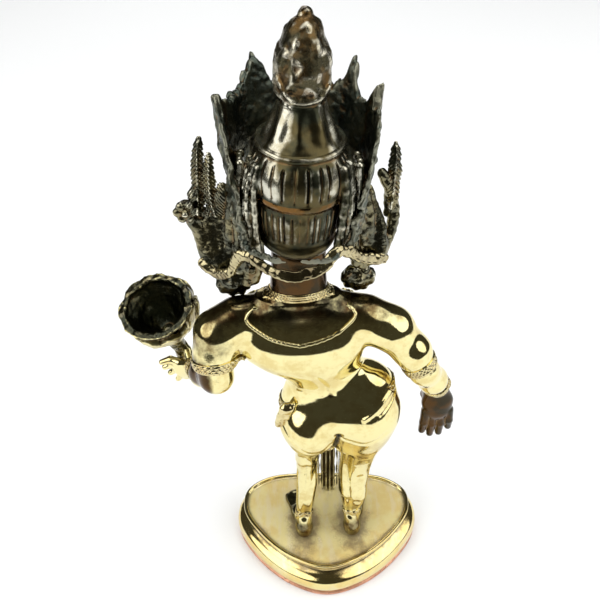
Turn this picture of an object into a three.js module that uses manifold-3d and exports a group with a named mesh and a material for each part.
// A small cast brass devotional figure, standing in the triple-bend pose on a heart-shaped pedestal.
// Its right hand hangs open, its left hand holds a lotus, and it wears a five-leaf crown with side plumes,
// ear discs, necklaces, armlets, bracelets, a girdle and anklets. The castings meet at sockets and tenons,
// and a copper plate closes the hollow pedestal from below.
// Millimetres, +Z up, the figure faces -Y, and its own left side is +X.
// The origin is at the centre of the pedestal's footprint, on the surface it stands on.
import * as THREE from "three";
import { mergeVertices } from "three/addons/utils/BufferGeometryUtils.js";
import Module from "manifold-3d";

const wasm = await Module();
wasm.setup();

// Driving dimensions
const GAP = 0.3; // between pieces that touch
const PLATE_THICKNESS = 1.4;
const PEDESTAL_FLOOR = 10.6; // the feet stand on it
const PEDESTAL_RIM = 11.2; // the raised edge around it
const SLAB_THICKNESS = 2.4;
const PEDESTAL_WALL = 4.2;
const SOLE = PEDESTAL_FLOOR + GAP;
const TENON_RADIUS = 1.5;
const SIDES = 12; // of a limb's cross-section

// The head's centre, how far the head and crown lean to the figure's right, and the skull's half sizes
const HEAD_CENTRE = [4.4, -2.6, 119];
const HEAD_LEAN = THREE.MathUtils.degToRad(-3.9);
const FOOTPRINT_TURN = THREE.MathUtils.degToRad(-3); // the pedestal was cast a little askew

const FINISHES = {
  polished: new THREE.MeshStandardMaterial({ color: 0xd9b95c, roughness: 0.18, metalness: 1 }),
  patina: new THREE.MeshStandardMaterial({ color: 0x5b4f2c, roughness: 0.34, metalness: 1 }),
  copper: new THREE.MeshStandardMaterial({ color: 0xc88464, roughness: 0.5, metalness: 1 }),
};

const statue = new THREE.Group();
statue.name = "statue";

// ---- Solids ------------------------------------------------------------------------------------

// A closed geometry as a solid, turned the right way out
function solidOf(geometry) {
  const bare = geometry.clone();
  for (const name of ["normal", "uv"]) bare.deleteAttribute(name);
  const merged = mergeVertices(bare, 1e-4);
  const vertProperties = merged.attributes.position.array;
  const triVerts = new Uint32Array(merged.index.array);
  const solid = new wasm.Manifold(new wasm.Mesh({ numProp: 3, vertProperties, triVerts }));
  if (solid.volume() > 0) return solid;
  const turned = triVerts.map((_, i) => triVerts[i - (i % 3) + [0, 2, 1][i % 3]]);
  return new wasm.Manifold(new wasm.Mesh({ numProp: 3, vertProperties, triVerts: turned }));
}

const joined = (...solids) => solids.reduce((a, b) => a.add(b));
const without = (solid, ...tools) => tools.reduce((a, b) => a.subtract(b), solid);

// The clearance that each piece so far needs, in the order they were added
const taken = [];

// Adds one named mesh, made by a function of how far to grow it. It gives way to the pieces added before it,
// and only its largest body is kept, because a cut can leave slivers beside it
function addPiece(name, finish, make) {
  const body = without(make(0), ...taken).decompose().reduce((a, b) => (a.volume() > b.volume() ? a : b));
  taken.push(make(GAP));
  const mesh = body.getMesh();
  const geometry = new THREE.BufferGeometry();
  geometry.setAttribute("position", new THREE.BufferAttribute(mesh.vertProperties, 3));
  geometry.setIndex(new THREE.BufferAttribute(mesh.triVerts, 1));
  geometry.computeVertexNormals();
  const piece = new THREE.Mesh(geometry, FINISHES[finish]);
  piece.name = name;
  statue.add(piece);
}

// A closed skin through rings of points: its ends are closed by fans, unless it loops back to its start
function skin(rings, loops = false) {
  const sides = rings[0].length;
  const points = rings.flat();
  const faces = [];
  const spans = loops ? rings.length : rings.length - 1;
  for (let ring = 0; ring < spans; ring++) {
    const low = ring * sides;
    const high = ((ring + 1) % rings.length) * sides;
    for (let side = 0; side < sides; side++) {
      const next = (side + 1) % sides;
      faces.push(low + side, low + next, high + next, low + side, high + next, high + side);
    }
  }
  if (!loops) {
    const middle = (ring) => ring.reduce((a, p) => a.clone().add(p)).divideScalar(sides);
    const first = points.push(middle(rings[0])) - 1;
    const last = points.push(middle(rings.at(-1))) - 1;
    const top = (rings.length - 1) * sides;
    for (let side = 0; side < sides; side++) {
      const next = (side + 1) % sides;
      faces.push(first, next, side, last, top + side, top + next);
    }
  }
  return solidOf(new THREE.BufferGeometry().setFromPoints(points).setIndex(faces));
}

// An elliptical ring of points square to a tangent, with its first radius along `across`
function ellipse(centre, tangent, across, a, b, sides) {
  const u = new THREE.Vector3(...across);
  u.addScaledVector(tangent, -tangent.dot(u)).normalize();
  const v = tangent.clone().cross(u);
  return Array.from({ length: sides }, (_, side) => {
    const angle = (2 * Math.PI * side) / sides;
    return centre.clone().addScaledVector(u, a * Math.cos(angle)).addScaledVector(v, b * Math.sin(angle));
  });
}

// A limb with rounded ends through stations [x, y, z, radius along `across`, radius square to it]
function limb(stations, { across = [1, 0, 0], grow = 0, sides = SIDES, perSpan = 2 } = {}) {
  const curve = (points) => new THREE.CatmullRomCurve3(points, false, "centripetal");
  const path = curve(stations.map(([x, y, z]) => new THREE.Vector3(x, y, z)));
  const radii = curve(stations.map(([x, y, z, a, b], i) => new THREE.Vector3(a, b, i)));
  const steps = (stations.length - 1) * perSpan;
  const ring = (t, shrink, slide) => {
    const tangent = path.getTangent(t);
    const radius = radii.getPoint(t);
    const [a, b] = [radius.x + grow, radius.y + grow];
    const centre = path.getPoint(t).addScaledVector(tangent, slide * Math.min(a, b));
    return ellipse(centre, tangent, across, shrink * a, shrink * b, sides);
  };
  const middle = Array.from({ length: steps + 1 }, (_, step) => ring(step / steps, 1, 0));
  if (sides <= 8) return skin([ring(0, 0.6, -0.8), ...middle, ring(1, 0.6, 0.8)]);
  const start = [ring(0, 0.3, -0.95), ring(0, 0.75, -0.66)];
  return skin([...start, ...middle, ring(1, 0.75, 0.66), ring(1, 0.3, 0.95)]);
}

// A round wire along a closed curve through points
function closedWire(points, radius, steps = 28) {
  const path = new THREE.CatmullRomCurve3(points.map((p) => new THREE.Vector3(...p)), true, "centripetal");
  const rings = Array.from({ length: steps }, (_, step) =>
    ellipse(path.getPoint(step / steps), path.getTangent(step / steps), [0, 0, 1], radius, radius, 6),
  );
  return skin(rings, true);
}

// An ellipsoid
function ball([x, y, z], [rx, ry, rz], grow = 0, detail = 14) {
  const sphere = new THREE.SphereGeometry(1, detail, Math.round(detail * 0.6));
  sphere.rotateX(Math.PI / 2).scale(rx + grow, ry + grow, rz + grow).translate(x, y, z);
  return solidOf(sphere);
}

// A ring of round wire about an axis, squashed to an ellipse where the radii differ
function hoop([x, y, z], axis, [rx, ry], wire, turns = 20) {
  const torus = new THREE.TorusGeometry(1, wire / Math.max(rx, ry), 6, turns);
  torus.scale(rx, ry, Math.max(rx, ry));
  const upright = new THREE.Vector3(0, 0, 1);
  const turn = new THREE.Quaternion().setFromUnitVectors(upright, new THREE.Vector3(...axis).normalize());
  return solidOf(torus.applyQuaternion(turn).translate(x, y, z));
}

// A turned piece about +Z, from a profile of [radius, height] that starts and ends on the axis
function turned(profile, sides = 20) {
  const lathe = new THREE.LatheGeometry(profile.map(([r, h]) => new THREE.Vector2(r, h)), sides);
  return solidOf(lathe.rotateX(Math.PI / 2));
}

// A vertical pin
function pin([x, y], radius, low, high) {
  const cylinder = new THREE.CylinderGeometry(radius, radius, high - low, 14);
  return solidOf(cylinder.rotateX(Math.PI / 2).translate(x, y, (low + high) / 2));
}

function block([x, y, z], [width, depth, height]) {
  return solidOf(new THREE.BoxGeometry(width, depth, height).translate(x, y, z));
}

// ---- Pedestal and its copper plate -------------------------------------------------------------

// The heart-shaped footprint: broad across the front, drawn to a rounded point behind the heels
const RIGHT_OF_FOOTPRINT = [[10.5, 15.4], [20.2, 7.6], [26.6, -2.4], [26, -11], [18.5, -16.9]];
const FOOTPRINT = new THREE.CatmullRomCurve3(
  [
    [0, 18.6],
    ...RIGHT_OF_FOOTPRINT,
    [0, -18.6],
    ...RIGHT_OF_FOOTPRINT.map(([x, y]) => [-x, y]).reverse(),
  ].map(([x, y]) => new THREE.Vector3(x, y, 0).applyAxisAngle(new THREE.Vector3(0, 0, 1), FOOTPRINT_TURN)),
  true,
  "centripetal",
);
const FOOTPRINT_SIDES = 32;

// A solid whose outline is the footprint moved out by an offset at each height, from [offset, height]
function moulding(profile) {
  return skin(
    profile.map(([offset, height]) =>
      Array.from({ length: FOOTPRINT_SIDES }, (_, i) => {
        const t = i / FOOTPRINT_SIDES;
        const along = FOOTPRINT.getTangent(t);
        const outward = new THREE.Vector3(-along.y, along.x, 0);
        return FOOTPRINT.getPoint(t).addScaledVector(outward, offset).setZ(height);
      }),
    ),
  );
}

const SHELL_FOOT = PLATE_THICKNESS + GAP;
const PEDESTAL_OUTSIDE = [
  [-0.9, SHELL_FOOT], [0, 2.6], [0.2, 4.1], [-0.3, 5.7], [-1.6, 6.8],
  [-3, 7.5], [-3.4, 8.7], [-2.7, 10], [-2.1, 10.8], [-2.4, PEDESTAL_RIM], [-3.4, PEDESTAL_FLOOR],
];
const SLAB_UNDERSIDE = PEDESTAL_FLOOR - SLAB_THICKNESS;
const TENONS = { left: [7.4, 2.6], right: [-7.3, 2.6] };
const tenon = (side, grow) => pin(TENONS[side], TENON_RADIUS + grow, SLAB_UNDERSIDE - 1.6, SOLE + 2);

addPiece("base_plate", "copper", () => moulding([[-0.5, 0], [0, 0.4], [0, 1], [-0.4, PLATE_THICKNESS]]));
addPiece("pedestal", "polished", () =>
  without(
    moulding(PEDESTAL_OUTSIDE),
    moulding([[-PEDESTAL_WALL, 0], [-PEDESTAL_WALL - 0.6, SLAB_UNDERSIDE]]),
    tenon("left", GAP),
    tenon("right", GAP),
  ));

// A ring under the pedestal's slab on each foot tenon, which is peened over it
for (const [side, place] of Object.entries(TENONS)) {
  const top = SLAB_UNDERSIDE - GAP;
  const ring = pin(place, 3.2, top - 0.8, top);
  addPiece(`tenon_washer_${side}`, "polished", () => without(ring, tenon(side, GAP)));
}
taken.length = 0; // the feet have their own flat soles and tenons, so nothing above gives way to the pedestal

// ---- Hips, legs and feet -----------------------------------------------------------------------

const PELVIS = [
  [-5.4, 0.8, 51, 10.4, 7.6], [-4.6, 1, 56, 14, 9], [-3.6, 1.2, 62, 15.2, 9.4],
  [-1.8, 0.8, 68, 11.6, 8], [0, 0.4, 72.5, 8, 6.4],
];
const BUTTOCKS = [[[4.2, 4, 60], [7.4, 6.4, 7.6]], [[-10.4, 4.6, 65], [7.8, 6.4, 7.8]]];
const LEGS = {
  left: [
    [4, 0.8, 56, 7, 7], [3.9, -1.6, 41.5, 4, 4.2], [5.4, 0.9, 30, 3.6, 3.7],
    [6.3, 3.2, 19, 2.4, 2.5], [6.7, 4, 14, 2.3, 2.8],
  ],
  right: [
    [-10.8, 1, 58, 8, 7.6], [-9.4, -0.6, 47, 6.2, 6.2], [-8.2, -1.2, 40, 4.7, 4.8],
    [-7.9, 0.8, 29, 4.2, 4.2], [-7, 3, 19, 2.3, 2.4], [-7, 3.4, 14, 2.2, 2.7],
  ],
};

function foot(sign, grow) {
  const heel = [sign * 7.1, 5, SOLE + 1.8, 2.6, 2.6];
  const instep = [sign * 8, -2, SOLE + 2, 3, 2.8];
  const toes = [sign * 9.4, -9.4, SOLE + 0.9, 3.4, 1.7];
  const wholeFoot = limb([heel, instep, toes], { grow, sides: 10 });
  return without(wholeFoot, block([0, 0, SOLE - grow - 5], [60, 60, 10]));
}

addPiece("hips_and_legs", "polished", (grow) =>
  joined(
    limb(PELVIS, { grow, sides: 16 }),
    ...BUTTOCKS.map(([centre, sizes]) => ball(centre, sizes, grow, 12)),
    ...["left", "right"].flatMap((side) => [limb(LEGS[side], { grow, perSpan: 1 }), tenon(side, grow)]),
    foot(1, grow),
    foot(-1, grow),
  ));

// ---- Lotus, which the left hand closes round ---------------------------------------------------

// The flower opens up and back, about an axis that leans towards the figure's back
const FLOWER_PLACE = new THREE.Matrix4()
  .makeRotationFromEuler(new THREE.Euler(-0.38, 0.12, 0))
  .setPosition(39.2, -7.4, 86.4);
const PETALS = 9;
// Stations of a petal: distance from the axis, height, half width and half thickness
const PETAL = [[8.6, -4.6, 1.9, 0.9], [9.4, -0.4, 2.9, 1], [9.5, 4.2, 1.7, 0.8]];
const STEM = [
  [36.8, -12.2, 63.6, 1, 1], [36.4, -12, 69, 1.1, 1.1], [37, -10.8, 74.4, 1.2, 1.2],
  [38, -9.2, 78.6, 1.7, 1.7],
];
const addOnFlower = (name, make) =>
  addPiece(name, "patina", (grow) => make(grow).transform(FLOWER_PLACE.elements));

addOnFlower("lotus_cup", (grow) =>
  turned([
    [0, -7.6 - grow], [2.4, -7.4 - grow], [5 + grow, -5.6], [6.9 + grow, -1.6], [7.6 + grow, 3.4],
    [7, 3.8 + grow], [6.2 - grow, 3.2], [5.4 - grow, -1], [3.4 - grow, -4.4 + grow], [0, -5.4 + grow],
  ], 18));
addOnFlower("lotus_calyx", (grow) =>
  turned([
    [0, -10 - grow], [2.8, -9.7 - grow], [5.4 + grow, -8.4], [7.5 + grow, -5.2], [8.1 + grow, -1.6],
    [7.8 + grow, grow], [0, grow],
  ], 18));
addOnFlower("lotus_petals", (grow) =>
  joined(
    hoop([0, 0, -1.4], [0, 0, 1], [9.1, 9.1], 1.1 + grow, 18),
    ...Array.from({ length: PETALS }, (_, i) => {
      const angle = (2 * Math.PI * i) / PETALS;
      const [c, s] = [Math.cos(angle), Math.sin(angle)];
      const stations = PETAL.map(([r, h, a, b]) => [r * c, r * s, h, a, b]);
      return limb(stations, { across: [-s, c, 0], sides: 6, perSpan: 1, grow });
    }),
  ));
addPiece("lotus_stem", "patina", (grow) => limb(STEM, { sides: 8, grow }));

// ---- Arms and torso ----------------------------------------------------------------------------

const UPPER_ARMS = {
  left: [
    [19.4, 1.4, 91.2, 5.2, 5.2], [24.2, 2, 88.2, 5.2, 5.2], [25.6, 3.8, 81.4, 4.5, 4.5],
    [25.4, 5.2, 76.8, 3.9, 4.1],
  ],
  right: [
    [-10.5, 1.2, 90, 5.2, 5.2], [-16.6, 1.6, 86, 5, 5], [-21.4, 2.8, 79.8, 4.2, 4.2],
    [-24.2, 3.2, 74, 3.4, 3.5],
  ],
};
const FOREARMS = {
  left: [[25.8, 4.8, 76.2, 3.8, 3.8], [29.4, -0.4, 73, 3.3, 3.3], [32.6, -5.4, 69.4, 2.2, 2.4]],
  right: [[-24.4, 3, 73.4, 3.4, 3.4], [-27.4, 1, 68, 3.3, 3.2], [-29.4, -1.4, 63, 2.5, 2.2]],
};
const TORSO = [
  [0.8, 0.4, 73, 8.2, 6.2], [3.6, 0.6, 77, 12.4, 7.2], [4.6, 0.6, 82.6, 15.4, 8],
  [4.9, 0.8, 88, 16.6, 7.8], [4.9, 1.4, 93, 14, 6.6], [5.2, 1.8, 96.6, 8.6, 6],
];
const NECK = [[5.1, 1.8, 95, 6.6, 6.4], [4.9, 0.6, 101, 6.3, 6.2], [4.7, -0.8, 108, 6.2, 6]];

const bareArm = (side, grow) => [
  limb(UPPER_ARMS[side], { across: [0, 1, 0], grow }),
  limb(FOREARMS[side], { across: [0, 0, 1], grow }),
];
const finger = (stations, grow) => limb(stations, { across: [0, 0, 1], sides: 6, perSpan: 1, grow });

// The left hand's open fingers reach out past the lotus stem, which the thumb holds against the palm
const LEFT_FINGERS = [
  [[36.4, -8.4, 68.6], [41, -9.4, 68.4]], [[36.4, -8.8, 67], [40.6, -10, 66.2]],
  [[36, -8.8, 65.4], [39.4, -10, 64]], [[35.4, -8.4, 64], [37.6, -9.6, 62.2]],
];
addPiece("left_arm", "polished", (grow) =>
  joined(
    ...bareArm("left", grow),
    limb([[33, -6, 68.6, 2.4, 1.8], [36, -8.4, 66.6, 3, 1.4]], { across: [0, 0, 1], grow }),
    ...LEFT_FINGERS.map(([knuckle, tip]) => finger([[...knuckle, 1.1, 1.1], [...tip, 0.85, 0.85]], grow)),
    finger([[33.8, -7.6, 70.4, 1.1, 1.1], [34.6, -10.8, 72, 0.9, 0.9]], grow),
  ));

// The right hand hangs open, with the thumb in front
const RIGHT_FINGERTIPS = [[-32.6, 49.2], [-31, 46.8], [-29.2, 46.2], [-27.4, 47.4]];
addPiece("right_arm", "polished", (grow) =>
  joined(
    ...bareArm("right", grow),
    limb([[-29.7, -1.7, 62, 2.5, 1.9], [-30, -2.3, 57.4, 3.4, 1.8], [-30, -2.7, 53.6, 3.4, 1.5]], { grow }),
    ...RIGHT_FINGERTIPS.map(([x, tip]) => finger([[x, -2.6, 54, 1, 1], [x, -3.2, tip + 1, 0.9, 0.85]], grow)),
    finger([[-28, -3.4, 58.4, 1.2, 1.2], [-27.4, -5.4, 54, 1, 1]], grow),
  ));

addPiece("torso_and_neck", "polished", (grow) =>
  joined(limb(TORSO, { grow, sides: 16, perSpan: 1 }), limb(NECK, { grow, perSpan: 1 })));

// ---- Head and crown, in the head's own frame ---------------------------------------------------

const HEAD_PLACE = new THREE.Matrix4().makeRotationY(HEAD_LEAN).setPosition(...HEAD_CENTRE);
const addOnHead = (name, make) =>
  addPiece(name, "patina", (grow) => make(grow).transform(HEAD_PLACE.elements));

addOnHead("head", (grow) =>
  joined(
    ball([0, -1.4, 0.6], [9.2, 10.2, 12.6], grow, 14),
    ball([0, -4.4, -7], [7, 7, 6], grow, 10),
    ball([0, -11.2, -1.6], [1.5, 2, 3.2], grow, 8),
    ball([0, -10.4, -7.4], [2.4, 1.5, 1], grow, 8),
    ...[1, -1].map((sign) => ball([sign * 9.4, -1.4, -3.4], [1.5, 2.2, 4.6], grow, 8)),
  ));

// The combed hair over the crown and the nape, with a strap round it
const HAIR = [
  [0, 2.4, -8.6, 6.4, 6.4], [0, 1.6, -4.6, 8, 8.4], [0, 0.8, 0.6, 9.3, 10.2], [0, 0.6, 5.6, 10, 11],
  [0, 0.6, 10.6, 9.6, 10.6], [0, 0.8, 14.2, 7, 7.6],
];
addOnHead("hair", (grow) =>
  without(limb(HAIR, { grow, perSpan: 1, sides: 16 }), block([0, -14 - grow, -14], [34, 22, 32])));
const STRAP_SLOPE = 0.1;
addOnHead("hair_strap", (grow) => hoop([0, 1, 4.9], [0, STRAP_SLOPE, 1], [9.6, 10.5], 0.9 + grow, 22));

// The diadem: a wall round the front and sides of the head, which carries the crown's leaves
const DIADEM_END = THREE.MathUtils.degToRad(104); // from the middle of the front to where it stops
const DIADEM_RADIUS = 13.2;
const DIADEM_SLOPE = 3.4; // how much higher its foot is in front than at the sides
const DIADEM_FOOT = 2.4;
const DIADEM_HEIGHT = 14;
const DIADEM_FLARE = 1.1;
const diademFoot = (turn) => DIADEM_FOOT + DIADEM_SLOPE * Math.cos(turn);
addOnHead("diadem", (grow) =>
  skin(
    Array.from({ length: 15 }, (_, i) => {
      const turn = (DIADEM_END + grow / DIADEM_RADIUS) * (i / 7 - 1);
      const [low, half] = [diademFoot(turn), 0.8 + grow];
      const corner = (radius, height) =>
        new THREE.Vector3(radius * Math.sin(turn), -radius * Math.cos(turn), height);
      return [
        corner(DIADEM_RADIUS - half, low - grow), corner(DIADEM_RADIUS + half, low - grow),
        corner(DIADEM_RADIUS + half + DIADEM_FLARE, low + DIADEM_HEIGHT + grow),
        corner(DIADEM_RADIUS - half + DIADEM_FLARE, low + DIADEM_HEIGHT + grow),
      ];
    }),
  ));

// The topknot's flared skirt, and the tall bud that is pinned into it
const TOPKNOT_TOP = 24.3;
const onTopknot = (solid) => solid.translate([0, 0.8, 0]);
const topknotPin = (grow) =>
  turned([[0, 19.6 - grow], [1.6 + grow, 19.6 - grow], [1.6 + grow, 27], [0, 27]], 12);
addOnHead("topknot_skirt", (grow) =>
  onTopknot(
    without(
      turned([
        [0, 13.8 - grow], [7.4, 14 - grow], [8.3 + grow, 15], [8 + grow, 16], [6.7 + grow, 17.8],
        [5.2 + grow, 20.8], [4 + grow, TOPKNOT_TOP - GAP + grow], [0, TOPKNOT_TOP - GAP + grow],
      ]),
      topknotPin(GAP - grow),
    ),
  ));
taken.pop(); // the bud's pin and foot already clear the skirt
addOnHead("topknot_finial", (grow) =>
  onTopknot(
    joined(
      topknotPin(grow),
      turned([
        [0, TOPKNOT_TOP - grow], [3.6, TOPKNOT_TOP - grow], [4.8 + grow, 26.2], [5.3 + grow, 29.6],
        [5 + grow, 33.6], [3.9 + grow, 37.2], [2.2, 40 + grow], [0, 41.2 + grow],
      ]),
    ),
  ));

// A pointed leaf standing on its foot, in the XZ plane, centred on X = 0
function leafPlate(width, height, thickness) {
  const half = width / 2;
  const outline = new THREE.Shape();
  outline.moveTo(-half * 0.55, 0).lineTo(half * 0.55, 0);
  outline.bezierCurveTo(half * 1.5, height * 0.3, half * 0.9, height * 0.62, 0, height);
  outline.bezierCurveTo(-half * 0.9, height * 0.62, -half * 1.5, height * 0.3, -half * 0.55, 0);
  const flatPlate = { depth: thickness, bevelEnabled: false, curveSegments: 6 };
  const plate = new THREE.ExtrudeGeometry(outline, flatPlate);
  return plate.rotateX(Math.PI / 2).translate(0, thickness / 2, 0);
}

const LEAVES = {
  front: { angle: 0, width: 12, height: 22 },
  front_left: { angle: 38, width: 8.4, height: 17 },
  front_right: { angle: -40, width: 8.4, height: 17.4 },
  left: { angle: 78, width: 8, height: 15.4 },
  right: { angle: -78, width: 8, height: 17.6 },
};
const LEAF_THICKNESS = 1.5;
const LEAF_SEAT = 1.8; // from the diadem's middle surface out to the middle of a leaf's foot
const LEAF_LIFT = 2.6; // how far a leaf's foot stands above the diadem's foot
const LEAF_LEAN = Math.atan(DIADEM_FLARE / DIADEM_HEIGHT);
for (const [name, { angle, width, height }] of Object.entries(LEAVES)) {
  addOnHead(`crown_leaf_${name}`, (grow) => {
    const turn = THREE.MathUtils.degToRad(angle);
    const plate = leafPlate(width + 2 * grow, height + grow, LEAF_THICKNESS + 2 * grow);
    plate.rotateX(LEAF_LEAN);
    plate.translate(0, -DIADEM_RADIUS - LEAF_SEAT, diademFoot(turn) + LEAF_LIFT);
    return solidOf(plate.rotateZ(turn));
  });
}

// ---- Streamers, plumes, rosette and the ribbon tied behind the head ----------------------------

// A flat strip, broad along `across`
function addStrip(name, finish, stations, across = [1, 0, 0]) {
  addPiece(name, finish, (grow) => limb(stations, { across, sides: 8, grow }));
}
// Locks of hair beside the neck, in front of which the crown's streamers hang
addStrip("side_lock_left", "patina", [
  [15, -1.2, 124, 1.5, 1.5], [17, -1.4, 117, 1.9, 1.7], [17.2, -1.4, 110, 2.1, 1.7],
  [18.4, -1, 103.4, 1.5, 1.3],
]);
addStrip("side_lock_right", "patina", [
  [-6.6, -1.2, 123, 1.5, 1.5], [-8.8, -1.4, 116, 2.2, 1.7], [-9.6, -1.4, 110, 2.4, 1.7],
  [-9.4, -1, 103.4, 1.6, 1.3],
]);
addStrip("streamer_left", "patina", [
  [20, -5.6, 121, 1.3, 1], [22.4, -5.6, 116, 2.3, 1.1], [22.8, -4.2, 109, 2.6, 1.1],
  [22.6, -2, 104.4, 1.7, 1],
]);
addStrip("streamer_right", "patina", [
  [-12.4, -5.4, 122, 1.3, 1], [-14.6, -5.6, 117, 1.1, 1], [-15.6, -5, 111.4, 1.5, 1],
  [-13, -2.8, 105.6, 1.7, 1],
]);
addStrip("plume_left_outer", "patina", [
  [26.2, -5.4, 114.6, 1, 1], [25.2, -6, 124, 1.9, 1.1], [24.6, -7, 132.4, 0.7, 0.7],
]);
addStrip("plume_left_inner", "patina", [
  [23.2, -6.6, 117, 0.9, 0.8], [23, -5.4, 124, 1.4, 1], [21.6, -4.6, 130.4, 0.6, 0.6],
]);
addStrip("plume_right", "patina", [
  [-15.2, -5.4, 113.6, 1, 1], [-16, -6, 122, 1.8, 1.1], [-16.4, -7, 128.8, 0.8, 0.8],
]);
addPiece("rosette_left", "patina", (grow) =>
  joined(ball([28.8, -5.2, 117], [2.9, 2, 2.9], grow, 12), ball([28.8, -3, 117], [1.2, 1, 1.2], grow, 8)));
addStrip("hair_ribbon", "patina", [
  [26, -1.6, 105.6, 0.8, 1.2], [22.8, 0.4, 103.6, 0.8, 1.2], [19.4, 2.8, 106.4, 0.8, 1.2],
  [15.6, 6, 112.4, 0.8, 1.3], [10.4, 9.6, 110.6, 0.8, 1.4], [5.2, 10.8, 109.8, 0.8, 1.5],
  [0.2, 9.4, 110.6, 0.8, 1.4], [-4.6, 6, 112.2, 0.8, 1.3], [-9.4, 2.6, 107.4, 0.8, 1.2],
  [-14.4, -1, 104.6, 0.8, 1.2],
], [0, 1, 0.01]);

for (const [side, x] of [["left", 20], ["right", -8.6]]) {
  addPiece(`earring_${side}`, "patina", (grow) =>
    joined(
      ball([x, -3.4, 98], [4, 2.6, 3.5], grow, 12),
      ball([x, -1.4, 98.8], [1.6, 1.4, 1.4], grow, 8),
      limb([[x, -4.6, 100, 1, 1], [4.7 + 0.7 * (x - 4.7), -5.2, 109, 0.9, 0.9]], { sides: 8, grow }),
    ));
}

// ---- Jewellery on the body ---------------------------------------------------------------------

const WORN = {
  collar: [[5.1, 1.6, 99], [0, -0.22, 1], [7.6, 7.4], 1.2, 20],
  armlet_left: [[25.5, 4, 80.6], [0, 0.26, -0.96], [4.4, 4.4], 0.9, 16],
  armlet_right: [[-23.2, 3.1, 76], [-0.46, 0.08, -0.88], [3.7, 3.7], 0.9, 16],
  bracelet_left: [[31.6, -3.8, 70.5], [0.45, -0.74, -0.5], [2.9, 2.9], 0.8, 14],
  bracelet_right: [[-28.9, -0.7, 64.4], [-0.36, -0.44, -0.82], [3, 3], 0.8, 14],
  girdle: [[-2.3, 1, 66.6], [0.22, 0, 0.97], [12.9, 8.9], 1.2, 26],
  anklet_left: [[6.2, 3, 19.6], [0, -0.15, 1], [2.7, 2.8], 0.8, 14],
  anklet_right: [[-7, 2.8, 19.6], [0.06, -0.15, 1], [2.6, 2.8], 0.8, 14],
};
for (const [name, [centre, axis, radii, wire, turns]] of Object.entries(WORN)) {
  addPiece(name, "polished", (grow) => hoop(centre, axis, radii, wire + grow, turns));
}
addPiece("long_necklace", "polished", (grow) =>
  closedWire(
    [
      [5.2, 8.8, 88.4], [12.6, 7.8, 89.8], [17.6, 4.6, 94], [14.6, -3, 95.6], [11.8, -7, 89],
      [4.6, -8.8, 82.6], [-2.6, -7, 88], [-5.4, -3.4, 94.6], [-7.8, 4.2, 93.4], [-2.6, 7.8, 89.8],
    ],
    0.9 + grow,
    30,
  ));

// The pleated cloth that hangs from the girdle between the legs, and the girdle's knot on the left hip
addStrip("front_sash", "polished", [
  [-2.6, -9.1, 63.6, 2.6, 1], [-2, -10, 48, 2.3, 0.9], [-1.4, -10.8, 30, 2.2, 0.9],
  [-1.2, -11.2, 11.7, 2.4, 0.9],
]);
addStrip("girdle_knot", "polished", [
  [8.6, 5.6, 66.2, 1.6, 1.2], [10.4, 5.6, 63, 1.4, 1.3], [11.4, 4.8, 59, 1.8, 1.2],
]);

export default statue;
